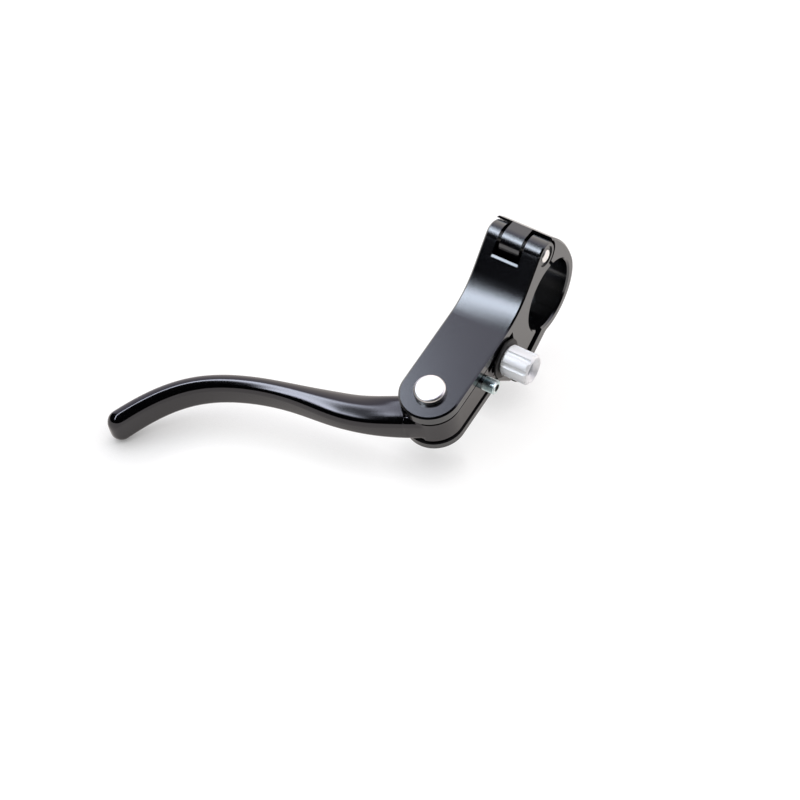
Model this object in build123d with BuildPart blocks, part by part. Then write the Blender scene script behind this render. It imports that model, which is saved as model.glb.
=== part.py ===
from build123d import *
from math import acos, cos, degrees, exp, isclose, radians, sin, tan
import os

os.makedirs("parts", exist_ok=True)

# A short brake lever that clamps to the flat top of a handlebar and works a cable running along it.
# Sizes are in millimetres. The origin is the middle of the bar clamp: +X runs along the bar
# towards the adjuster, +Z along the lever's pivot, and the lever stands off towards -Y.

# Bar clamp
bar_diameter = 26.0
bracket_width = 21.2
jaw_wall = 3.4
edge_break = 0.6
split_bearing = 223.0  # where the split meets the bore, from +Y towards +Z
split_slope = 20.0  # fall of the split face towards the front
clamp_gap = 3.2
lug_length = 19.5
lug_thickness = 5.0
lug_slant = 15.5  # lean of the lug's front end back from square
lug_round = 2.0
boss_run = 5.8  # length of the slope from the bolt boss up to the lower plate

# Clamp hinge
hinge_back = 1.4
hinge_height = 20.4
hinge_radius = 5.35
nose_run = 4.7  # length of the rounded run from the rise up to the barrel's crest
hinge_pin_diameter = 4.6
pin_recess_diameter = 7.6
pin_recess_depth = 0.5
pin_end_round = 0.4
pocket_width = 10.2
pocket_offset = -0.85  # middle of the jaw's knuckle along the bar
pocket_clearance = 0.95
pocket_stretch = 1.2  # room in front of the knuckle
knuckle_side_clearance = 1.3
seam_bearing = -69.0
seam_gap = 0.7
shoulder_clearance = 0.45
shoulder_bearing = 10.0  # where the jaw's outside leaves its circle
shoulder_wrap = 42.0  # how far the jaw's shoulder comes up round the barrels
shoulder_wall = 0.8
lip_run = 1.2  # bevel of the pocket's lip along the rise, and its drop
lip_drop = 0.45

# Clevis
pivot_reach = 57.2
lever_plane = 1.55  # height of the lever's middle above the bar's axis
slot_height = 12.3
top_plate = 3.6
lower_plate = 3.0
rise_start = 27.0
rise_radius = 24.0
rise_angle = 38.5
web_thickness = 5.6
web_setback = 12.2  # from the pivot back to the web's front end
slot_corner = 1.5

# Lever
hub_radius = 10.2
hub_clearance = 0.55
crank_edge = 0.9
arm_left = 4.5
arm_behind_cable = 6.1  # from the cable to the end of the crank
arm_clearance = 0.7
arm_corner = 4.0
boss_stand = 0.7
boss_root = 1.0
boss_radius = 5.4
blade_root = (1.65, -3.6)  # points of the blade's middle line, from the pivot
blade_neck = (-19.1, -13.0)
blade_waist = (-46.9, -19.2)
blade_knee = (-73.4, -30.4)
blade_tip = (-91.4, -58.0)
blade_tip_heading = (-0.36, -0.93)
blade_stations = 10
root_width = 12.4
blade_width = 6.4
taper_middle = 0.342  # share of the blade's length where half of the root's extra width is gone
taper_sharpness = 18.1
waist_height = 10.7
tip_height = 13.2
blade_edge = 2.9
tip_round = 2.6

# Pivot
pin_diameter = 6.0
pin_head_diameter = 10.8
pin_head_height = 2.2
pin_head_round = 0.9
pin_tail = 2.7
groove_depth = 0.6
groove_width = 0.8
groove_below_washer = 0.05
clip_thickness = 0.7
clip_diameter = 10.4
clip_opening = 4.0
washer_diameter = 11.0
washer_thickness = 0.7
bush_wall = 1.0
bush_length = 5.0
thrust_diameter = 10.4
thrust_thickness = 0.45
running_clearance = 0.04
flat_clearance = 0.05

# Return spring
spring_wire = 0.9
spring_diameter = 12.6
spring_turns = 3
spring_pitch = 1.1
spring_room = 0.35
spring_tail = 2.0
tail_clearance = 0.15
bend_thinning = 0.02  # the wire is a little thinner where it is bent down into its tails

# Cable, adjuster and reach screw
cable_arm = 27.6  # from the pivot to the cable
cable_bore = 2.2
cable_passage = 3.0
housing_bore = 5.2
stop_depth = 3.6
socket_depth = 8.0
socket_mouth = 1.6
knob_diameter = 10.9
knob_length = 10.2
knob_flutes = 8
flute_turn = 7.0
flute_diameter = 2.6
flute_depth = 0.55
knob_chamfer = 0.8
stem_diameter = 7.0
stem_length = 11.0
stem_clearance = 0.05
ring_diameter = 14.2
ring_thickness = 0.9
ring_round = 0.35
reach_arm = 16.2  # from the pivot to the reach screw
reach_diameter = 5.0
reach_length = 19.5
reach_gap = 0.2
reach_key = 2.5
screw_chamfer = 0.5
key_depth = 2.5

# Clamp bolt
bolt_diameter = 5.0
bolt_length = 12.0
bolt_offset = 8.5  # from the bore to the bolt, along the split
bolt_clearance = 0.25
thread_clearance = 0.05
bolt_hole_depth = 6.5
bolt_tip_gap = 0.3
bolt_head_diameter = 9.5
bolt_head_height = 2.75
bolt_head_round = 1.6
bolt_key = 3.0
bolt_key_depth = 1.6
bolt_washer_diameter = 10.0
bolt_washer_thickness = 0.8
seat_depth = 1.6
seat_clearance = 0.3

# Worked out from the sizes above
bar_radius = bar_diameter / 2
half_width = bracket_width / 2
jaw_radius = bar_radius + jaw_wall
slot_bottom = lever_plane - slot_height / 2
slot_top = lever_plane + slot_height / 2
plate_bottom = slot_bottom - lower_plate
plate_top = slot_top + top_plate
hub_thickness = slot_height - 2 * hub_clearance
hub_bottom = lever_plane - hub_thickness / 2
hub_top = lever_plane + hub_thickness / 2
pin_radius = pin_diameter / 2
bush_radius = pin_radius + running_clearance + bush_wall
web_inner = -half_width + web_thickness
web_front = pivot_reach - web_setback
boss_face = hub_radius + boss_stand
pocket_left = pocket_offset - pocket_width / 2
reach = 2 * pivot_reach  # longer than any cut that has to go right through
cable_back = cable_arm - pivot_reach
reach_back = reach_arm - pivot_reach
arm_end = -cable_back - arm_behind_cable
slot_end = arm_end - arm_clearance
spring_radius = spring_diameter / 2
spring_floor = hub_bottom + spring_wire
spring_height = spring_turns * spring_pitch
pocket_depth = spring_wire + spring_height + spring_wire / 2 + spring_room


def heading(angle):
    return Vector(cos(radians(angle)), sin(radians(angle)))


# Points of the side view, as (y, z)
hinge = Vector(hinge_back, hinge_height)
split_start = heading(split_bearing) * bar_radius
along_split = heading(180 + split_slope)
across_split = heading(split_slope - 90)
boss_tip = split_start + along_split * lug_length
along_seam = heading(seam_bearing)
across_seam = heading(seam_bearing + 90)
rise_foot = Vector(-rise_start, plate_top)
rise_end = rise_foot + Vector(0, rise_radius) + heading(rise_angle - 90) * rise_radius
crest = hinge + Vector(0, hinge_radius)
nose_start = rise_end + heading(rise_angle) * ((crest.X - nose_run - rise_end.X) / cos(radians(rise_angle)))
nose = -pivot_reach - half_width


def bolt_plane(distance):
    point = split_start + along_split * bolt_offset + across_split * distance
    return Plane(origin=(0, point.X, point.Y), x_dir=(1, 0, 0), z_dir=(0, across_split.X, across_split.Y))


bolt_seat = clamp_gap + lug_thickness - seat_depth
bolt_engagement = bolt_length - bolt_seat - bolt_washer_thickness
bolt_travel = bolt_engagement + bolt_tip_gap

# Bracket: a side profile cut to the clevis's plan, with the lever's slot and the hinge pocket taken out
with BuildPart() as bracket:
    with BuildSketch(Plane.YZ) as bracket_side:
        with BuildLine():
            Line((nose, plate_top), rise_foot)
            JernArc(start=rise_foot, tangent=(1, 0), radius=rise_radius, arc_size=rise_angle)
            Line(rise_end, nose_start)
            TangentArc(nose_start, crest, tangent=heading(rise_angle))
            Polyline(
                crest,
                hinge - across_seam * seam_gap / 2,
                hinge - across_seam * seam_gap / 2 + along_seam * (hinge_height - bar_radius / 2),
                (0, 0),
                split_start - along_split,
                boss_tip,
                (boss_tip.X - boss_run, plate_bottom),
                (nose, plate_bottom),
                (nose, plate_top),
            )
        make_face()
        with Locations(hinge):
            Circle(hinge_radius)
        Circle(bar_radius, mode=Mode.SUBTRACT)
    extrude(amount=half_width, both=True)
    with BuildSketch(Plane.XY) as bracket_plan:
        with Locations((0, -pivot_reach)):
            Circle(half_width)
            Rectangle(bracket_width, reach, align=(Align.CENTER, Align.MIN))
    extrude(amount=reach, both=True, mode=Mode.INTERSECT)
    side_edges = bracket.faces().filter_by(Axis.X).edges()
    nose_edges = bracket.edges().filter_by(GeomType.CIRCLE).group_by(Axis.Y)[0]
    chamfer(side_edges + nose_edges, length=edge_break)
    with BuildSketch(Plane.XY.offset(slot_bottom)) as lever_slot:
        with Locations((0, -web_front)):
            Rectangle(reach, reach, align=(Align.CENTER, Align.MAX))
        with Locations((web_inner, -slot_end)):
            Rectangle(reach, web_front - slot_end, align=(Align.MIN, Align.MAX))
        fillet(lever_slot.vertices().sort_by_distance((web_inner, -slot_end))[0], radius=slot_corner)
    extrude(amount=slot_height, mode=Mode.SUBTRACT)
    with BuildSketch(Plane.XY.offset(plate_bottom)):
        with Locations((0, -pivot_reach)):
            Circle(pin_radius)
    extrude(amount=plate_top - plate_bottom, mode=Mode.SUBTRACT)
    with BuildSketch(Plane.XY.offset(slot_bottom - spring_tail)):
        with Locations((spring_radius, -pivot_reach)):
            Circle(spring_wire / 2 + tail_clearance)
    extrude(amount=spring_tail, mode=Mode.SUBTRACT)
    with BuildSketch(Plane.YZ.offset(-half_width)):
        with Locations((cable_back, lever_plane)):
            Circle(housing_bore / 2)
    extrude(amount=stop_depth, mode=Mode.SUBTRACT)
    with BuildSketch(Plane.YZ.offset(-half_width)):
        with Locations((cable_back, lever_plane)):
            Circle(cable_bore / 2)
    extrude(amount=web_thickness, mode=Mode.SUBTRACT)
    with BuildSketch(Plane.YZ.offset(pocket_left)):
        with Locations(hinge - Vector(pocket_stretch / 2, 0)):
            SlotCenterToCenter(pocket_stretch, 2 * (hinge_radius + pocket_clearance))
    extrude(amount=pocket_width, mode=Mode.SUBTRACT)
    lip_near = (pocket_offset, hinge.X - hinge_radius - pocket_clearance - pocket_stretch, hinge_height)
    lip = bracket.edges().filter_by(Axis.X).sort_by_distance(lip_near)[0]
    rise_face = bracket.faces().filter_by(lambda face: lip in face.edges()).sort_by(Axis.Y)[0]
    chamfer(lip, length=lip_run, length2=lip_drop, reference=rise_face)
    with BuildSketch(Plane.YZ):
        with Locations(hinge):
            Circle(hinge_pin_diameter / 2)
    extrude(amount=half_width, both=True, mode=Mode.SUBTRACT)
    for side in (-1, 1):
        with BuildSketch(Plane.YZ.offset(side * half_width)):
            with Locations(hinge):
                Circle(pin_recess_diameter / 2)
        extrude(amount=-side * pin_recess_depth, mode=Mode.SUBTRACT)
    with BuildSketch(bolt_plane(0)):
        Circle(bolt_diameter / 2 + thread_clearance)
    extrude(amount=-bolt_hole_depth, mode=Mode.SUBTRACT)
bracket.part.label = "bracket"
export_step(bracket.part, "parts/bracket.step")

# Clamp jaw: the rear of the ring, a shoulder behind the hinge, the middle knuckle and the bolt lug
jaw_seam = hinge + across_seam * seam_gap / 2
jaw_seam_foot = jaw_seam + along_seam * (hinge_height - bar_radius / 2)
jaw_split = split_start + across_split * clamp_gap
lug_heel = jaw_split + across_split * lug_thickness
lug_lean = tan(radians(lug_slant))
shoulder_foot = heading(shoulder_bearing) * jaw_radius
shoulder_radius = hinge_radius + shoulder_clearance + shoulder_wall
shoulder_top = hinge + heading(shoulder_wrap) * shoulder_radius
knuckle_top = hinge + heading(shoulder_wrap + degrees(acos(hinge_radius / shoulder_radius))) * hinge_radius

with BuildSketch(Plane.YZ) as shoulder:
    with BuildLine():
        TangentArc(shoulder_foot, shoulder_top, tangent=heading(shoulder_bearing + 90))
        Polyline(shoulder_top, jaw_seam, jaw_seam_foot, (0, 0), shoulder_foot)
    make_face()

with BuildPart() as clamp_jaw:
    with BuildSketch(Plane.YZ) as jaw_side:
        Circle(jaw_radius)
        with BuildLine():
            Polyline(
                jaw_seam_foot,
                jaw_seam_foot - along_seam * reach,
                (-reach, reach),
                jaw_split + along_split * reach,
                jaw_split - along_split * jaw_wall,
                (0, 0),
                jaw_seam_foot,
            )
        make_face(mode=Mode.SUBTRACT)
        add(shoulder.sketch_local)
        with BuildLine():
            Polyline(
                jaw_split - along_split * jaw_wall,
                jaw_split + along_split * (lug_length - clamp_gap * lug_lean),
                lug_heel + along_split * (lug_length - (clamp_gap + lug_thickness) * lug_lean),
                lug_heel - along_split * jaw_wall,
                close=True,
            )
        make_face()
        Circle(bar_radius, mode=Mode.SUBTRACT)
        with Locations(hinge):
            Circle(hinge_radius + shoulder_clearance, mode=Mode.SUBTRACT)
        fillet(jaw_side.vertices().sort_by_distance(lug_heel)[0], radius=lug_round)
    extrude(amount=half_width, both=True)
    jaw_rims = clamp_jaw.faces().filter_by(Axis.X).edges()
    chamfer(jaw_rims.filter_by(lambda rim: rim.length > hinge_radius * 2.5), length=edge_break)
    with BuildSketch(Plane.YZ.offset(pocket_left + knuckle_side_clearance)):
        add(shoulder.sketch_local)
        with BuildLine():
            Polyline(shoulder_top, knuckle_top, jaw_seam, close=True)
        make_face()
        Circle(bar_radius, mode=Mode.SUBTRACT)
        with Locations(hinge):
            Circle(hinge_radius)
            Circle(hinge_pin_diameter / 2 + running_clearance, mode=Mode.SUBTRACT)
    extrude(amount=pocket_width - 2 * knuckle_side_clearance)
    with BuildSketch(bolt_plane(clamp_gap)):
        Circle(bolt_diameter / 2 + bolt_clearance)
    extrude(amount=lug_thickness, mode=Mode.SUBTRACT)
    with BuildSketch(bolt_plane(bolt_seat)):
        Circle(bolt_washer_diameter / 2 + seat_clearance)
    extrude(amount=lug_thickness, mode=Mode.SUBTRACT)
clamp_jaw.part.label = "clamp_jaw"
export_step(clamp_jaw.part, "parts/clamp_jaw.step")

with BuildPart() as hinge_pin:
    with BuildSketch(Plane.YZ):
        with Locations(hinge):
            Circle(hinge_pin_diameter / 2)
    extrude(amount=half_width, both=True)
    fillet(hinge_pin.edges().filter_by(GeomType.CIRCLE), radius=pin_end_round)
hinge_pin.part.label = "hinge_pin"
export_step(hinge_pin.part, "parts/hinge_pin.step")

# Clamp bolt, backed out of the bracket by its thread's length and still held in the jaw's lug
with BuildPart() as clamp_bolt:
    with BuildSketch(bolt_plane(bolt_tip_gap)):
        Circle(bolt_diameter / 2)
    extrude(amount=bolt_length)
    with BuildSketch(bolt_plane(bolt_tip_gap + bolt_length)):
        Circle(bolt_head_diameter / 2)
    extrude(amount=bolt_head_height)
    head_end = clamp_bolt.faces().sort_by(Axis.Z)[0]
    fillet(head_end.edges(), radius=bolt_head_round)
    chamfer(clamp_bolt.faces().sort_by(Axis.Z)[-1].edges(), length=screw_chamfer)
    with BuildSketch(bolt_plane(bolt_tip_gap + bolt_length + bolt_head_height)):
        RegularPolygon(bolt_key / 2, 6, major_radius=False)
    extrude(amount=-bolt_key_depth, mode=Mode.SUBTRACT)
clamp_bolt.part.label = "clamp_bolt"
export_step(clamp_bolt.part, "parts/clamp_bolt.step")

with BuildPart() as clamp_washer:
    with BuildSketch(bolt_plane(bolt_tip_gap + bolt_length - bolt_washer_thickness)):
        Circle(bolt_washer_diameter / 2)
        Circle(bolt_diameter / 2 + bolt_clearance, mode=Mode.SUBTRACT)
    extrude(amount=bolt_washer_thickness)
clamp_washer.part.label = "clamp_washer"
export_step(clamp_washer.part, "parts/clamp_washer.step")

# Lever: a flat crank between the plates and a blade lofted along one smooth curve
pivot = Vector(0, -pivot_reach)
blade_offsets = (blade_root, blade_neck, blade_waist, blade_knee, blade_tip)
blade_points = [pivot + Vector(*offset) for offset in blade_offsets]
with BuildLine() as blade_line:
    Spline(*blade_points, tangents=[blade_points[1] - blade_points[0], blade_tip_heading])


def blade_section(share):
    width = blade_width + (root_width - blade_width) / (1 + exp((share - taper_middle) * taper_sharpness))
    height = waist_height + (tip_height - waist_height) * share**2
    return width, height


with BuildPart() as lever:
    with BuildSketch(Plane.XY.offset(hub_bottom)) as crank_plan:
        with Locations((0, -pivot_reach)):
            Circle(hub_radius)
        with Locations((-arm_left, -pivot_reach)):
            Rectangle(arm_left + hub_radius, pivot_reach - arm_end, align=(Align.MIN, Align.MIN))
        fillet(crank_plan.vertices().group_by(Axis.Y)[-1], radius=arm_corner)
    extrude(amount=hub_thickness)
    crank_rims = lever.edges().group_by(Axis.Z)
    chamfer(crank_rims[0] + crank_rims[-1], length=crank_edge)
    for station in range(blade_stations + 1):
        share = station / blade_stations
        point = blade_line.line @ share
        along = blade_line.line % share
        section_plane = Plane(
            origin=(point.X, point.Y, lever_plane),
            x_dir=Vector(0, 0, 1).cross(along),
            z_dir=along,
        )
        width, height = blade_section(share)
        with BuildSketch(section_plane):
            RectangleRounded(width, height, blade_edge)
    loft()
    blade_end = lever.faces().sort_by(Axis.Y)[0]
    fillet(blade_end.edges(), radius=tip_round)
    with BuildSketch(Plane.YZ.offset(boss_face)):
        with Locations((cable_back, lever_plane)):
            Circle(boss_radius)
    extrude(amount=-boss_stand - boss_root)
    with BuildSketch(Plane.XY.offset(hub_bottom)):
        with Locations((0, -pivot_reach)):
            Circle(bush_radius)
    extrude(amount=hub_thickness, mode=Mode.SUBTRACT)
    with BuildSketch(Plane.XY.offset(hub_bottom)):
        with Locations((0, -pivot_reach)):
            Circle(spring_radius + spring_wire / 2 + spring_room)
            Circle(spring_radius - spring_wire / 2 - spring_room, mode=Mode.SUBTRACT)
    extrude(amount=pocket_depth, mode=Mode.SUBTRACT)
    with BuildSketch(Plane.XY.offset(hub_bottom + pocket_depth)):
        with Locations((spring_radius, -pivot_reach)):
            Circle(spring_wire / 2 + tail_clearance)
    extrude(amount=spring_tail, mode=Mode.SUBTRACT)
    with BuildSketch(Plane.YZ.offset(boss_face)):
        with Locations((cable_back, lever_plane)):
            Circle(stem_diameter / 2 + stem_clearance)
    extrude(amount=-stem_length - ring_thickness, mode=Mode.SUBTRACT)
    with BuildSketch(Plane.YZ.offset(boss_face)):
        with Locations((cable_back, lever_plane)):
            Circle(cable_passage / 2)
    extrude(amount=-reach, mode=Mode.SUBTRACT)
    with BuildSketch(Plane.YZ):
        with Locations((reach_back, lever_plane)):
            Circle(reach_diameter / 2 + thread_clearance)
    extrude(amount=bracket_width, both=True, mode=Mode.SUBTRACT)
lever.part.label = "lever"
export_step(lever.part, "parts/lever.step")

# Pivot pin with its head on the top plate and a groove for the clip below
pin_bottom = plate_bottom - pin_tail
groove_top = plate_bottom - washer_thickness - groove_below_washer
with BuildPart() as pivot_pin:
    with BuildSketch(Plane.XY.offset(pin_bottom)):
        with Locations((0, -pivot_reach)):
            Circle(pin_radius)
    extrude(amount=plate_top - pin_bottom)
    chamfer(pivot_pin.edges().group_by(Axis.Z)[0], length=screw_chamfer)
    with BuildSketch(Plane.XY.offset(plate_top)):
        with Locations((0, -pivot_reach)):
            Circle(pin_head_diameter / 2)
    extrude(amount=pin_head_height)
    fillet(pivot_pin.edges().group_by(Axis.Z)[-1], radius=pin_head_round)
    with BuildSketch(Plane.XY.offset(groove_top)):
        with Locations((0, -pivot_reach)):
            Circle(pin_radius)
            Circle(pin_radius - groove_depth, mode=Mode.SUBTRACT)
    extrude(amount=-groove_width, mode=Mode.SUBTRACT)
pivot_pin.part.label = "pivot_pin"
export_step(pivot_pin.part, "parts/pivot_pin.step")

with BuildPart() as pivot_clip:
    with BuildSketch(Plane.XY.offset(groove_top - (groove_width + clip_thickness) / 2)):
        with Locations((0, -pivot_reach)):
            Circle(clip_diameter / 2)
            Circle(pin_radius - groove_depth + running_clearance, mode=Mode.SUBTRACT)
            Rectangle(clip_diameter, clip_opening, align=(Align.MIN, Align.CENTER), mode=Mode.SUBTRACT)
    extrude(amount=clip_thickness)
pivot_clip.part.label = "pivot_clip"
export_step(pivot_clip.part, "parts/pivot_clip.step")

with BuildPart() as pivot_washer:
    with BuildSketch(Plane.XY.offset(plate_bottom - washer_thickness)):
        with Locations((0, -pivot_reach)):
            Circle(washer_diameter / 2)
            Circle(pin_radius + running_clearance, mode=Mode.SUBTRACT)
    extrude(amount=washer_thickness)
pivot_washer.part.label = "pivot_washer"
export_step(pivot_washer.part, "parts/pivot_washer.step")

for name, start, thickness in (
    ("upper_bush", hub_top, -bush_length),
    ("lower_bush", hub_bottom, bush_length),
):
    with BuildPart() as bush:
        with BuildSketch(Plane.XY.offset(start)):
            with Locations((0, -pivot_reach)):
                Circle(bush_radius)
                Circle(pin_radius + running_clearance, mode=Mode.SUBTRACT)
        extrude(amount=thickness)
    bush.part.label = name
    export_step(bush.part, f"parts/{name}.step")

for name, start, thickness in (
    ("upper_thrust_washer", slot_top - flat_clearance, -thrust_thickness),
    ("lower_thrust_washer", slot_bottom + flat_clearance, thrust_thickness),
):
    with BuildPart() as thrust_washer:
        with BuildSketch(Plane.XY.offset(start)):
            with Locations((0, -pivot_reach)):
                Circle(thrust_diameter / 2)
                Circle(pin_radius + running_clearance, mode=Mode.SUBTRACT)
        extrude(amount=thickness)
    thrust_washer.part.label = name
    export_step(thrust_washer.part, f"parts/{name}.step")

# Torsion spring round the pivot: one tail in the lower plate, the other in the lever
with BuildPart() as return_spring:
    with BuildLine(Plane(origin=(0, -pivot_reach, spring_floor))) as coil:
        Helix(pitch=spring_pitch, height=spring_height, radius=spring_radius)
    with BuildSketch(Plane(origin=coil.line @ 0, z_dir=coil.line % 0)):
        Circle(spring_wire / 2)
    sweep(path=coil.line, is_frenet=True)
    with BuildSketch(Plane.XY.offset(spring_floor)):
        with Locations((spring_radius, -pivot_reach)):
            Circle(spring_wire / 2 - bend_thinning)
    extrude(amount=slot_bottom - spring_tail + tail_clearance - spring_floor)
    with BuildSketch(Plane.XY.offset(spring_floor + spring_height)):
        with Locations((spring_radius, -pivot_reach)):
            Circle(spring_wire / 2 - bend_thinning)
    extrude(amount=pocket_depth - spring_wire - spring_height + spring_tail - tail_clearance)
return_spring.part.label = "return_spring"
export_step(return_spring.part, "parts/return_spring.step")

# Barrel adjuster: fluted knob on a hollow screw that seats the cable's housing
knob_base = boss_face + ring_thickness
knob_end = knob_base + knob_length
cable_axis = (cable_back, lever_plane)
with BuildPart() as barrel_adjuster:
    with BuildSketch(Plane.YZ.offset(knob_base)):
        with Locations(cable_axis):
            Circle(knob_diameter / 2)
    extrude(amount=knob_length)
    chamfer(barrel_adjuster.edges().filter_by(GeomType.CIRCLE), length=knob_chamfer)
    with BuildSketch(Plane.YZ.offset(knob_base)):
        with Locations(cable_axis):
            with PolarLocations((knob_diameter + flute_diameter) / 2 - flute_depth, knob_flutes, flute_turn):
                Circle(flute_diameter / 2)
    extrude(amount=knob_length, mode=Mode.SUBTRACT)
    with BuildSketch(Plane.YZ.offset(knob_base)):
        with Locations(cable_axis):
            Circle(stem_diameter / 2)
    extrude(amount=-stem_length - ring_thickness + thread_clearance)
    with BuildSketch(Plane.YZ.offset(knob_end)):
        with Locations(cable_axis):
            Circle(housing_bore / 2)
    extrude(amount=-socket_depth, mode=Mode.SUBTRACT)
    socket_rims = barrel_adjuster.edges().filter_by(GeomType.CIRCLE)
    socket_rims = socket_rims.filter_by(lambda rim: isclose(rim.radius, housing_bore / 2))
    chamfer(socket_rims.sort_by(Axis.X)[-1], length=socket_mouth)
    with BuildSketch(Plane.YZ.offset(knob_end)):
        with Locations(cable_axis):
            Circle(cable_bore / 2)
    extrude(amount=-reach, mode=Mode.SUBTRACT)
barrel_adjuster.part.label = "barrel_adjuster"
export_step(barrel_adjuster.part, "parts/barrel_adjuster.step")

with BuildPart() as adjuster_ring:
    with BuildSketch(Plane.YZ.offset(boss_face)):
        with Locations(cable_axis):
            Circle(ring_diameter / 2)
    extrude(amount=ring_thickness)
    fillet(adjuster_ring.edges().filter_by(GeomType.CIRCLE), radius=ring_round)
    with BuildSketch(Plane.YZ.offset(boss_face)):
        with Locations(cable_axis):
            Circle(stem_diameter / 2 + stem_clearance)
    extrude(amount=ring_thickness, mode=Mode.SUBTRACT)
adjuster_ring.part.label = "adjuster_ring"
export_step(adjuster_ring.part, "parts/adjuster_ring.step")

# Reach screw: its tip meets the bracket's web and sets where the lever rests
reach_tip = web_inner + reach_gap
with BuildPart() as reach_screw:
    with BuildSketch(Plane.YZ.offset(reach_tip)):
        with Locations((reach_back, lever_plane)):
            Circle(reach_diameter / 2)
    extrude(amount=reach_length)
    chamfer(reach_screw.edges().filter_by(GeomType.CIRCLE), length=screw_chamfer)
    with BuildSketch(Plane.YZ.offset(reach_tip + reach_length)):
        with Locations((reach_back, lever_plane)):
            RegularPolygon(reach_key / 2, 6, major_radius=False)
    extrude(amount=-key_depth, mode=Mode.SUBTRACT)
reach_screw.part.label = "reach_screw"
export_step(reach_screw.part, "parts/reach_screw.step")

print("bolt travel", round(bolt_travel, 3), "cable height back", round(cable_back, 3))
print("knob end", round(knob_end, 3), "ring face", round(boss_face, 3))
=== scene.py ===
import math

import bmesh
import bpy
from mathutils import Matrix, Vector


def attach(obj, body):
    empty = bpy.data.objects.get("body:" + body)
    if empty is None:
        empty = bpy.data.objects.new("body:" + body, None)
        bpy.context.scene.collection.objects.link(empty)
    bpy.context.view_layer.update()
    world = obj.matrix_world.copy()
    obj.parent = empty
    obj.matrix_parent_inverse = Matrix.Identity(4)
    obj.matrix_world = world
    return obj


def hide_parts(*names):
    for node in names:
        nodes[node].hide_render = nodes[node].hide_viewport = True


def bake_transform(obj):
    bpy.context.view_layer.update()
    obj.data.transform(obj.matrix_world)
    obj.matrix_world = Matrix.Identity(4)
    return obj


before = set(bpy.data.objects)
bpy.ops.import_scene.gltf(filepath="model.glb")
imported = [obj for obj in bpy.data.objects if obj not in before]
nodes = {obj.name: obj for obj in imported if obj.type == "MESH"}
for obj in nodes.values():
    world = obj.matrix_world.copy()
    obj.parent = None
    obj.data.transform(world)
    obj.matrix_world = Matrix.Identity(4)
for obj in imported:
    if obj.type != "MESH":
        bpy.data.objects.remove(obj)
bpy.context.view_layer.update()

mm = 0.001
print("frame loaded:", len(nodes), "nodes")


def linear(hexColour):
    # sRGB hex to the linear colour that shaders use
    parts = [int(hexColour[i:i + 2], 16) / 255 for i in (1, 3, 5)]
    return tuple(c / 12.92 if c <= 0.04045 else ((c + 0.055) / 1.055) ** 2.4 for c in parts) + (1.0,)


def addNode(tree, kind, links=None, settings=None, **values):
    # one shader node, its settings, its socket values and its incoming links
    node = tree.nodes.new(kind)
    for name, value in (settings or {}).items():
        setattr(node, name, value)
    for name, value in values.items():
        node.inputs[name.replace("_", " ")].default_value = value
    for name, source in (links or {}).items():
        tree.links.new(source, node.inputs[name])
    return node


def newMaterial(name):
    material = bpy.data.materials.new(name)
    material.use_nodes = True
    tree = material.node_tree
    return material, tree, tree.nodes["Principled BSDF"]


grainNoise = {"detail": 3.0, "roughness": 0.6, "cloudDetail": 2.0, "low": 0.3, "high": 0.7, "reliefShare": 0.5}


def grainMaterial(name, look):
    # a finish whose colour, gloss and fine relief vary with a noise of a real grain size
    material, tree, shader = newMaterial(name)
    coords = addNode(tree, "ShaderNodeTexCoord")
    stretch = look.get("stretch", (1.0, 1.0, 1.0))
    placed = addNode(tree, "ShaderNodeMapping", {"Vector": coords.outputs["Object"]}, Scale=stretch)
    grain = addNode(tree, "ShaderNodeTexNoise", {"Vector": placed.outputs["Vector"]},
                    Scale=1.0 / (look["grainMm"] * mm), Detail=grainNoise["detail"], Roughness=grainNoise["roughness"])
    cloud = addNode(tree, "ShaderNodeTexNoise", {"Vector": coords.outputs["Object"]},
                    Scale=1.0 / (look["cloudMm"] * mm), Detail=grainNoise["cloudDetail"])
    tint = addNode(tree, "ShaderNodeValToRGB", {"Fac": cloud.outputs["Fac"]})
    tint.color_ramp.elements[0].position = grainNoise["low"]
    tint.color_ramp.elements[1].position = grainNoise["high"]
    tint.color_ramp.elements[0].color = linear(look["dark"])
    tint.color_ramp.elements[1].color = linear(look["light"])
    gloss = addNode(tree, "ShaderNodeMapRange", {"Value": grain.outputs["Fac"]},
                    From_Min=grainNoise["low"], From_Max=grainNoise["high"],
                    To_Min=look["roughness"][0], To_Max=look["roughness"][1])
    relief = addNode(tree, "ShaderNodeBump", {"Height": grain.outputs["Fac"]},
                     Strength=look["relief"], Distance=look["grainMm"] * mm * grainNoise["reliefShare"])
    tree.links.new(tint.outputs["Color"], shader.inputs["Base Color"])
    tree.links.new(gloss.outputs["Result"], shader.inputs["Roughness"])
    tree.links.new(relief.outputs["Normal"], shader.inputs["Normal"])
    shader.inputs["Metallic"].default_value = look.get("metallic", 0.0)
    if "ior" in look:
        shader.inputs["IOR"].default_value = look["ior"]
    if "sheen" in look:
        shader.inputs["Specular Tint"].default_value = linear(look["sheen"])
    return material


# forged aluminium, bead blasted and black anodised: near black, with a satin sheen that
# spreads the lamps into soft bands and a blast texture that only shows close up
satinAnodised = grainMaterial("satin_black_anodised_aluminium", {
    "grainMm": 0.16, "cloudMm": 14.0, "dark": "#040406", "light": "#070709",
    "roughness": (0.14, 0.18), "relief": 0.05, "ior": 1.86, "sheen": "#F5FAFF"})

# the same alloy polished before it was anodised: a smooth black that mirrors lamps as streaks
glossAnodised = grainMaterial("polished_black_anodised_aluminium", {
    "grainMm": 0.5, "cloudMm": 20.0, "dark": "#030304", "light": "#050506",
    "roughness": (0.08, 0.11), "relief": 0.015, "ior": 1.6, "sheen": "#F8F7FF"})

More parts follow.
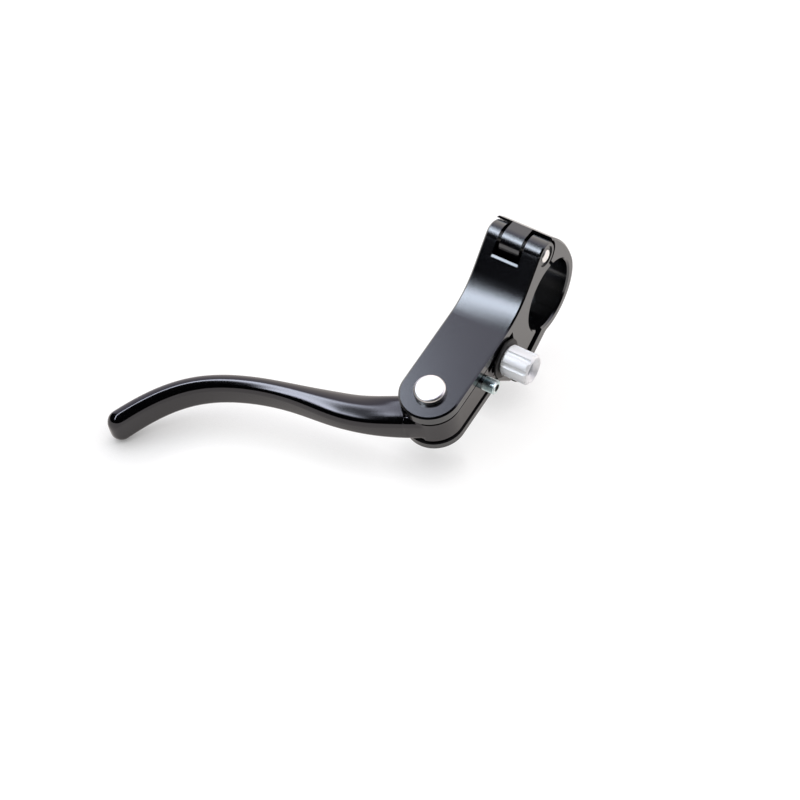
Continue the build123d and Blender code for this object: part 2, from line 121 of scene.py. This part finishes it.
# turned aluminium, silver anodised: pale and milky, with faint rings from the tool
silverAnodised = grainMaterial("turned_silver_anodised_aluminium", {
    "grainMm": 0.12, "cloudMm": 6.0, "dark": "#ECEFF2", "light": "#F3F5F7", "stretch": (1.0, 0.12, 0.12),
    "roughness": (0.38, 0.46), "relief": 0.06, "metallic": 0.3})

# turned steel, tumbled and nickel plated: a pale mirror that fine scratches haze a little
nickelSteel = grainMaterial("tumbled_nickel_plated_steel", {
    "grainMm": 0.2, "cloudMm": 5.0, "dark": "#EFEEEC", "light": "#F6F5F4",
    "roughness": (0.3, 0.36), "relief": 0.04, "metallic": 1.0})

# cold-headed steel, zinc plated: a duller blue-grey, mottled by the bath
zincSteel = grainMaterial("cold_headed_zinc_plated_steel", {
    "grainMm": 0.25, "cloudMm": 2.5, "dark": "#A6ABB0", "light": "#BFC4C8",
    "roughness": (0.26, 0.38), "relief": 0.05, "metallic": 1.0})

# rolled thread, zinc plated and blue passivated: brighter, with a teal cast that drifts along it
blueZinc = grainMaterial("rolled_blue_passivated_zinc_steel", {
    "grainMm": 0.2, "cloudMm": 1.6, "dark": "#BFD8DB", "light": "#EDF4F4",
    "roughness": (0.3, 0.4), "relief": 0.04, "metallic": 1.0})

# drawn spring wire, oiled: dark steel with die lines along it
drawnWire = grainMaterial("drawn_spring_steel_wire", {
    "grainMm": 0.1, "cloudMm": 3.0, "dark": "#6E6E70", "light": "#838385",
    "roughness": (0.3, 0.4), "relief": 0.05, "metallic": 1.0})

# moulded acetal: a dense dark plastic with a waxy low gloss
acetal = grainMaterial("moulded_black_acetal", {
    "grainMm": 0.3, "cloudMm": 5.0, "dark": "#141415", "light": "#1A1A1C",
    "roughness": (0.4, 0.5), "relief": 0.05, "ior": 1.48})

# moulded nitrile rubber: deep matt black with a dusty mould skin
nitrile = grainMaterial("moulded_nitrile_rubber", {
    "grainMm": 0.25, "cloudMm": 4.0, "dark": "#0B0B0B", "light": "#121212",
    "roughness": (0.5, 0.62), "relief": 0.1, "ior": 1.52})

finishes = {
    "bracket": satinAnodised,
    "clamp_jaw": satinAnodised,
    "barrel_adjuster": silverAnodised,
    "hinge_pin": nickelSteel,
    "pivot_pin": nickelSteel,
    "clamp_washer": zincSteel,
    "pivot_washer": zincSteel,
    "pivot_clip": drawnWire,
    "return_spring": drawnWire,
    "upper_bush": acetal,
    "lower_bush": acetal,
    "upper_thrust_washer": acetal,
    "lower_thrust_washer": acetal,
    "adjuster_ring": nitrile,
}
for nodeName, finish in finishes.items():
    nodes[nodeName].data.materials.clear()
    nodes[nodeName].data.materials.append(finish)
print("finishes set:", len(finishes))

# how near points count as one, and as lying on a cut or a rim, in millimetres
near = {"weld": 0.002, "cut": 0.0001, "rim": 0.001}


def addPiece(bm, name, look, finish):
    # a finished mesh as a piece that rides on its body, with its CAD node hidden
    bmesh.ops.recalc_face_normals(bm, faces=bm.faces)
    for face in bm.faces:
        face.smooth = True
    mesh = bpy.data.meshes.new(name)
    bm.to_mesh(mesh)
    bm.free()
    mesh.set_sharp_from_angle(angle=math.radians(look["sharp"]))
    mesh.materials.append(finish)
    piece = bpy.data.objects.new(name, mesh)
    bpy.context.scene.collection.objects.link(piece)
    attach(piece, look["body"])
    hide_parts(look["node"])


threads = {"steps": 36, "depth": 0.61, "rootFlat": 0.25, "crestStart": 0.5625, "crestEnd": 0.6875, "spare": 2}


def rollThread(bm, screw):
    # a zigzag line that climbs one pitch as it is spun one turn, cut flat at both ends
    pitch, length = screw["pitch"], screw["length"]
    crest = screw["diameter"] / 2
    root = crest - threads["depth"] * pitch
    zigzag = ((0.0, root), (threads["rootFlat"], root), (threads["crestStart"], crest), (threads["crestEnd"], crest))
    line = []
    for turn in range(-threads["spare"], math.ceil(length / pitch) + threads["spare"]):
        line += [bm.verts.new((radius, 0, (turn + share) * pitch)) for share, radius in zigzag]
    edges = [bm.edges.new(ends) for ends in zip(line, line[1:])]
    bmesh.ops.spin(bm, geom=line + edges, cent=(0, 0, 0), axis=(0, 0, 1), dvec=(0, 0, pitch / threads["steps"]),
                   angle=2 * math.pi, steps=threads["steps"])
    bmesh.ops.remove_doubles(bm, verts=bm.verts, dist=near["weld"])
    for height, way in ((0.0, -1), (length, 1)):
        bmesh.ops.bisect_plane(bm, geom=bm.verts[:] + bm.edges[:] + bm.faces[:], dist=near["cut"],
                               plane_co=(0, 0, height), plane_no=(0, 0, way), clear_outer=True)
    for vert in bm.verts:
        # the bevel that leads the thread in
        fromEnd = min(vert.co.z, length - vert.co.z if screw["bevelTop"] else length)
        wide = vert.co.xy.length
        if wide > root + fromEnd:
            vert.co.xy *= (root + fromEnd) / wide


def rimAt(bm, height):
    return [e for e in bm.edges if e.is_boundary and all(abs(v.co.z - height) < near["rim"] for v in e.verts)]


def domeHead(bm, screw):
    # a button head, spun from half of its outline
    low, wide, tall, dome = screw["length"], screw["headDiameter"] / 2, screw["headHeight"], screw["headRound"]
    edge = screw["headEdge"]
    outline = [(screw["diameter"] / 2 + screw["neck"], low), (wide - edge, low), (wide, low + edge)]
    for step in range(screw["headSteps"] + 1):
        lean = math.pi / 2 * step / screw["headSteps"]
        outline.append((wide - dome + dome * math.cos(lean), low + tall - dome + dome * math.sin(lean)))
    outline.append((screw["key"] * screw["keyRim"], low + tall))
    line = [bm.verts.new((radius, 0, height)) for radius, height in outline]
    edges = [bm.edges.new(ends) for ends in zip(line, line[1:])]
    bmesh.ops.spin(bm, geom=line + edges, cent=(0, 0, 0), axis=(0, 0, 1), angle=2 * math.pi,
                   steps=threads["steps"], use_merge=True)


def keySocket(bm, screw, height):
    # a hexagon joined to the rim around it, pushed in and closed
    rim = rimAt(bm, height)
    ring = bmesh.ops.create_circle(bm, segments=6, radius=screw["key"] / math.sqrt(3),
                                   matrix=Matrix.Translation((0, 0, height)))
    corners = set(ring["verts"])
    hexagon = [e for e in bm.edges if e.verts[0] in corners and e.verts[1] in corners]
    bmesh.ops.bridge_loops(bm, edges=rim + hexagon)
    pushed = bmesh.ops.extrude_edge_only(bm, edges=hexagon)["geom"]
    bmesh.ops.translate(bm, verts=[g for g in pushed if isinstance(g, bmesh.types.BMVert)],
                        vec=(0, 0, -screw["keyDepth"]))
    bmesh.ops.holes_fill(bm, edges=[g for g in pushed if isinstance(g, bmesh.types.BMEdge)], sides=6)


def finishScrew(bm, name, screw, finish):
    bmesh.ops.holes_fill(bm, edges=rimAt(bm, 0.0), sides=0)
    turn = Vector((0, 0, 1)).rotation_difference(Vector(screw["along"])).to_matrix().to_4x4()
    place = Matrix.Translation(Vector(screw["tip"]) * mm) @ turn @ Matrix.Scale(mm, 4)
    bmesh.ops.transform(bm, matrix=place, verts=bm.verts)
    addPiece(bm, name, screw, finish)


reachScrew = {"tip": (-4.8, -41.0, 1.55), "along": (1, 0, 0), "length": 19.5, "diameter": 5.0, "pitch": 0.5,
              "bevelTop": True, "key": 2.5, "keyDepth": 2.5, "sharp": 32,
              "body": "reach_screw", "node": "reach_screw", "slot": "screw_zinc"}


def makeReachScrew():
    bm = bmesh.new()
    rollThread(bm, reachScrew)
    keySocket(bm, reachScrew, reachScrew["length"])
    finishScrew(bm, "threaded_reach_screw", reachScrew, blueZinc)


makeReachScrew()

clampBolt = {"tip": (0, -17.3924, -12.0551), "along": (0, 0.34202, -0.93969), "length": 12.0, "diameter": 5.0,
             "pitch": 0.8, "bevelTop": False, "neck": 0.2, "headDiameter": 9.5, "headHeight": 2.75, "headRound": 1.6,
             "headEdge": 0.2, "headSteps": 6, "key": 3.0, "keyDepth": 1.6, "keyRim": 0.7, "sharp": 32,
             "body": "clamp_bolt", "node": "clamp_bolt", "slot": "bolt_steel"}


def makeClampBolt():
    bm = bmesh.new()
    rollThread(bm, clampBolt)
    domeHead(bm, clampBolt)
    bmesh.ops.bridge_loops(bm, edges=rimAt(bm, clampBolt["length"]))
    keySocket(bm, clampBolt, clampBolt["length"] + clampBolt["headHeight"])
    finishScrew(bm, "threaded_clamp_bolt", clampBolt, zincSteel)


makeClampBolt()
print("screws made")

returnSpring = {"axis": (0, -57.2), "coilLow": -3.15, "coilHigh": 0.15,
                "held": "bracket", "turned": "lever", "node": "return_spring", "slot": "spring_steel"}


def makeReturnSpring():
    # the wire keeps its shape: the CAD spring's mesh is copied and baked in place, and its node is hidden
    piece = bpy.data.objects.new("wound_return_spring", nodes[returnSpring["node"]].data.copy())
    bpy.context.scene.collection.objects.link(piece)
    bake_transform(piece)
    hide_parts(returnSpring["node"])


makeReturnSpring()
print("spring made")

# the blade's middle line as x, y and heading in degrees, at even steps of its length from the end of the first
bladeLine = (
    (-3.488, -63.229, 205.95), (-8.596, -65.72, 205.73), (-13.756, -68.102, 203.48), (-19.044, -70.181, 199.08),
    (-24.488, -71.807, 194.48), (-30.027, -73.078, 191.66), (-35.606, -74.158, 190.52), (-41.192, -75.205, 190.96),
    (-46.755, -76.367, 192.87), (-52.263, -77.768, 195.77), (-57.682, -79.476, 199.34), (-62.97, -81.556, 203.78),
    (-68.055, -84.088, 209.4), (-72.828, -87.168, 216.55), (-77.134, -90.869, 224.79), (-80.885, -95.133, 232.35),
    (-84.096, -99.819, 238.55), (-86.85, -104.789, 243.23), (-89.251, -109.939, 246.57), (-91.4, -115.2, 248.84))
blade = {"length": 113.666, "step": 0.05, "cut": 0.0768, "rings": 90, "middle": 1.55,
         "rootWidth": 12.4, "width": 6.4, "taperMiddle": 0.342, "taperSharpness": 18.1,
         "waistHeight": 10.7, "tipHeight": 13.2, "edge": 2.9, "crown": 4.2, "crownRun": 0.18, "capSteps": 24,
         "inset": 0.04, "leastSide": 0.3, "nose": 4.0, "noseAside": 2.7, "noseUp": 4.2, "noseRings": 8,
         "sharp": 18, "body": "lever", "node": "lever", "slot": "lever_black"}


def bladeAt(share):
    # the point and the direction of the middle line, by a cubic between two of its points
    place = share / blade["step"] - 1
    first = max(0, min(int(place), len(bladeLine) - 2))
    t = place - first
    (ax, ay, aTurn), (bx, by, bTurn) = bladeLine[first], bladeLine[first + 1]
    run = blade["length"] * blade["step"]
    a, b = Vector((ax, ay, blade["middle"])), Vector((bx, by, blade["middle"]))
    aWay, bWay = (Vector((math.cos(math.radians(d)), math.sin(math.radians(d)), 0)) * run for d in (aTurn, bTurn))
    point = (a * (2 * t**3 - 3 * t**2 + 1) + aWay * (t**3 - 2 * t**2 + t)
             + b * (3 * t**2 - 2 * t**3) + bWay * (t**3 - t**2))
    way = ((a - b) * (6 * t**2 - 6 * t) + aWay * (3 * t**2 - 4 * t + 1) + bWay * (3 * t**2 - 2 * t))
    return point, way.normalized()


def bladeRing(share, shrink):
    # one section: flat sides, and caps that go from the crank's rounded corners to a full crown
    extra = 1 / (1 + math.exp((share - blade["taperMiddle"]) * blade["taperSharpness"]))
    wide = (blade["width"] + (blade["rootWidth"] - blade["width"]) * extra) / 2
    wide -= blade["inset"] + blade["noseAside"] * shrink
    tall = (blade["waistHeight"] + (blade["tipHeight"] - blade["waistHeight"]) * share**2) / 2
    tall -= blade["inset"] + blade["noseUp"] * shrink
    corner = min(blade["edge"], wide, tall - blade["leastSide"])
    rise = min(blade["edge"] + (blade["crown"] - blade["edge"]) * extra, tall - blade["leastSide"])
    full = max(0.0, min(1.0, (share - blade["cut"]) / blade["crownRun"]))
    full = full * full * (3 - 2 * full)
    third = blade["capSteps"] // 3
    cap = []
    for k in range(blade["capSteps"] + 1):
        lean = math.pi * k / blade["capSteps"]
        if third < k < 2 * third:
            square = ((wide - corner) * (1 - 2 * (k - third) / third), tall)
        else:
            side, turned = (1, k) if k <= third else (-1, k - third)
            bend = math.pi / 2 * turned / third
            square = (side * (wide - corner) + corner * math.cos(bend), tall - corner + corner * math.sin(bend))
        arch = (wide * math.cos(lean), tall - rise + rise * math.sin(lean))
        cap.append([p + (q - p) * full for p, q in zip(square, arch)])
    point, way = bladeAt(share)
    aside, up = Vector((0, 0, 1)).cross(way), Vector((0, 0, 1))
    return [(point + aside * u + up * v) * mm for u, v in cap + [(-u, -v) for u, v in cap]]


def makeLever():
    # the crank is the CAD's own, cut where the blade leaves it, and the blade is drawn on from there
    bm = bmesh.new()
    bm.from_mesh(nodes[blade["node"]].data)
    bmesh.ops.remove_doubles(bm, verts=bm.verts, dist=near["weld"] * mm)
    point, way = bladeAt(blade["cut"])
    bmesh.ops.bisect_plane(bm, geom=bm.verts[:] + bm.edges[:] + bm.faces[:], dist=near["cut"] * mm,
                           plane_co=point * mm, plane_no=way, clear_outer=True)
    bmesh.ops.remove_doubles(bm, verts=bm.verts, dist=near["weld"] * mm)
    rim = [e for e in bm.edges if e.is_boundary]
    noseStart = 1 - blade["nose"] / blade["length"]
    stride = (noseStart - blade["cut"]) / blade["rings"]
    places = [(blade["cut"] + stride * k, 0.0) for k in range(blade["rings"])]
    for k in range(blade["noseRings"] + 1):
        lean = math.pi / 2 * k / blade["noseRings"]
        places.append((noseStart + (1 - noseStart) * math.sin(lean), 1 - math.cos(lean)))
    rings = [[bm.verts.new(co) for co in bladeRing(*place)] for place in places]
    for ring, following in zip(rings, rings[1:]):
        for k in range(len(ring)):
            bm.faces.new((ring[k - 1], ring[k], following[k], following[k - 1]))
    bm.faces.new(rings[-1])
    start = set(rings[0])
    bmesh.ops.triangle_fill(bm, use_beauty=True, normal=way,
                            edges=rim + [e for e in bm.edges if e.verts[0] in start and e.verts[1] in start])
    addPiece(bm, "crowned_lever", blade, glossAnodised)


makeLever()
print("lever made")

# the table is tilted so that it meets the lever where the real one lies on it
# the glow's painted contact shadow darkens it near the lever, with its reach for camera rays and for reflected rays
table = {"size": 6.0, "tilt": -18.0, "drop": 0.0002, "paper": "#8A8A8A", "bounce": "#E6E6E6", "glow": 0.8,
         "seen": "#FFFFFF", "paintedContactShade": 0.016, "mirrored": "#FFF7F0", "mirroredPaintedContactShade": 0.035, "paintedContactShadeSamples": 8}


def buildTable():
    turn = Matrix.Rotation(math.radians(table["tilt"]), 4, "X")
    up = turn.to_3x3() @ Vector((0, 0, 1))
    lowest = min(up.dot(v.co) for node in nodes.values() for v in node.data.vertices)
    bm = bmesh.new()
    bmesh.ops.create_grid(bm, x_segments=1, y_segments=1, size=table["size"] / 2)
    bmesh.ops.transform(bm, matrix=Matrix.Translation(up * (lowest - table["drop"])) @ turn, verts=bm.verts)
    mesh = bpy.data.meshes.new("table")
    bm.to_mesh(mesh)
    bm.free()
    top = bpy.data.objects.new("table", mesh)
    bpy.context.scene.collection.objects.link(top)
    material, tree, shader = newMaterial("white_paper_sweep")
    tree.nodes.remove(shader)
    rays = addNode(tree, "ShaderNodeLightPath")
    paper = addNode(tree, "ShaderNodeBsdfDiffuse", Color=linear(table["paper"]))
    face = addNode(tree, "ShaderNodeBsdfDiffuse", Color=linear(table["bounce"]))
    # part of the white is the paper's own, so the lamps' shadow stays light, and the glow is darkened by ambient
    # occlusion where the lever touches: a painted contact shadow, seen by the camera and in reflections
    for ray, colour, reach in (("Is Glossy Ray", table["mirrored"], table["mirroredPaintedContactShade"]),
                               ("Is Camera Ray", table["seen"], table["paintedContactShade"])):
        paintedContactShade = addNode(tree, "ShaderNodeAmbientOcclusion", settings={"samples": table["paintedContactShadeSamples"]},
                         Color=linear(colour), Distance=reach)
        glow = addNode(tree, "ShaderNodeEmission", {"Color": paintedContactShade.outputs["Color"]}, Strength=table["glow"])
        seen = addNode(tree, "ShaderNodeAddShader", {0: paper.outputs[0], 1: glow.outputs[0]})
        face = addNode(tree, "ShaderNodeMixShader", {"Fac": rays.outputs[ray], 1: face.outputs[0], 2: seen.outputs[0]})
    # from below the table is clear
    clear = addNode(tree, "ShaderNodeBsdfTransparent")
    side = addNode(tree, "ShaderNodeNewGeometry")
    oneSided = addNode(tree, "ShaderNodeMixShader",
                       {"Fac": side.outputs["Backfacing"], 1: face.outputs[0], 2: clear.outputs[0]})
    tree.links.new(oneSided.outputs[0], tree.nodes["Material Output"].inputs["Surface"])
    mesh.materials.append(material)


buildTable()

lamps = [
    {"name": "strip_softbox", "at": (-0.316, -0.165, 0.8), "turn": 11.5, "size": (0.15, 1.2), "core": (0.1, 0.28),
     "watts": 7.3, "colour": "#EEF4FF", "mirrored": True},
    {"name": "ceiling_bounce", "at": (0.1, -0.1, 1.4), "turn": 0.0, "size": (1.6, 1.6), "core": (0.3, 0.3),
     "watts": 16.0, "colour": "#FFFDF8", "mirrored": False},
]


def hangLamps():
    for lamp in lamps:
        light = bpy.data.lights.new(lamp["name"], "AREA")
        light.shape = "RECTANGLE"
        light.size, light.size_y = lamp["size"]
        light.energy = lamp["watts"]
        light.color = linear(lamp["colour"])[:3]
        # a softbox is brightest in its middle and fades to its edges
        light.use_nodes = True
        tree = light.node_tree
        spot = addNode(tree, "ShaderNodeNewGeometry")
        axes = addNode(tree, "ShaderNodeSeparateXYZ", {"Vector": spot.outputs["Parametric"]})
        fades = []
        for axis, core in zip("XY", lamp["core"]):
            aside = addNode(tree, "ShaderNodeMath", {0: axes.outputs[axis]}, {"operation": "SUBTRACT"})
            aside.inputs[1].default_value = 0.5
            off = addNode(tree, "ShaderNodeMath", {0: aside.outputs[0]}, {"operation": "ABSOLUTE"})
            fades.append(addNode(tree, "ShaderNodeMapRange", {"Value": off.outputs[0]},
                                 {"interpolation_type": "SMOOTHSTEP"},
                                 From_Min=core, From_Max=0.5, To_Min=1.0, To_Max=0.0))
        level = addNode(tree, "ShaderNodeMath", {0: fades[0].outputs["Result"], 1: fades[1].outputs["Result"]},
                        {"operation": "MULTIPLY"})
        tree.links.new(level.outputs[0], tree.nodes["Emission"].inputs["Strength"])
        holder = bpy.data.objects.new(lamp["name"], light)
        bpy.context.scene.collection.objects.link(holder)
        holder.location = lamp["at"]
        holder.rotation_euler.z = math.radians(lamp["turn"])
        holder.visible_glossy = lamp["mirrored"]


hangLamps()

# colours of the room by how far a direction leans to the back, from sideways (0) to straight back (1)
room = {"stops": [(0.29, "#000000"), (0.42, "#B0ADBC"), (0.9, "#F2E9E3")], "strength": 2.0}


def paintWorld():
    # white behind the lever, a pale wall at its back and a dark room in front of it
    world = bpy.data.worlds.new("studio")
    bpy.context.scene.world = world
    world.use_nodes = True
    tree = world.node_tree
    tree.nodes.clear()
    rays = addNode(tree, "ShaderNodeLightPath")
    place = addNode(tree, "ShaderNodeTexCoord")
    axes = addNode(tree, "ShaderNodeSeparateXYZ", {"Vector": place.outputs["Generated"]})
    wall = addNode(tree, "ShaderNodeValToRGB", {"Fac": axes.outputs["Y"]})
    stops = wall.color_ramp.elements
    stops.new(room["stops"][1][0])
    for stop, (position, colour) in zip(stops, room["stops"]):
        stop.position = position
        stop.color = linear(colour)
    dim = addNode(tree, "ShaderNodeBackground", {"Color": wall.outputs["Color"]}, Strength=room["strength"])
    white = addNode(tree, "ShaderNodeBackground", Color=linear("#FFFFFF"), Strength=1.0)
    mix = addNode(tree, "ShaderNodeMixShader",
                  {"Fac": rays.outputs["Is Camera Ray"], 1: dim.outputs[0], 2: white.outputs[0]})
    addNode(tree, "ShaderNodeOutputWorld", {"Surface": mix.outputs[0]})


paintWorld()
print("light set")

view = {
    "at": (0.319317, -0.418328, 0.73591),
    "right": (0.842244, 0.524837, -0.12317),
    "up": (-0.387098, 0.747795, 0.539406),
    "back": (0.375206, -0.406632, 0.832989),
    "lens": 120.1237,
    "sensor": 36.0,
    "near": 0.01,
    "far": 20.0,
}


def placeCamera():
    lens = bpy.data.cameras.new("photo_view")
    lens.sensor_width = view["sensor"]
    lens.lens = view["lens"]
    lens.clip_start = view["near"]
    lens.clip_end = view["far"]
    camera = bpy.data.objects.new("photo_view", lens)
    bpy.context.scene.collection.objects.link(camera)
    columns = (view["right"], view["up"], view["back"], view["at"])
    camera.matrix_world = Matrix([[c[row] for c in columns] for row in range(3)] + [[0, 0, 0, 1]])
    bpy.context.scene.camera = camera


placeCamera()
bpy.context.scene.view_settings.view_transform = "Standard"
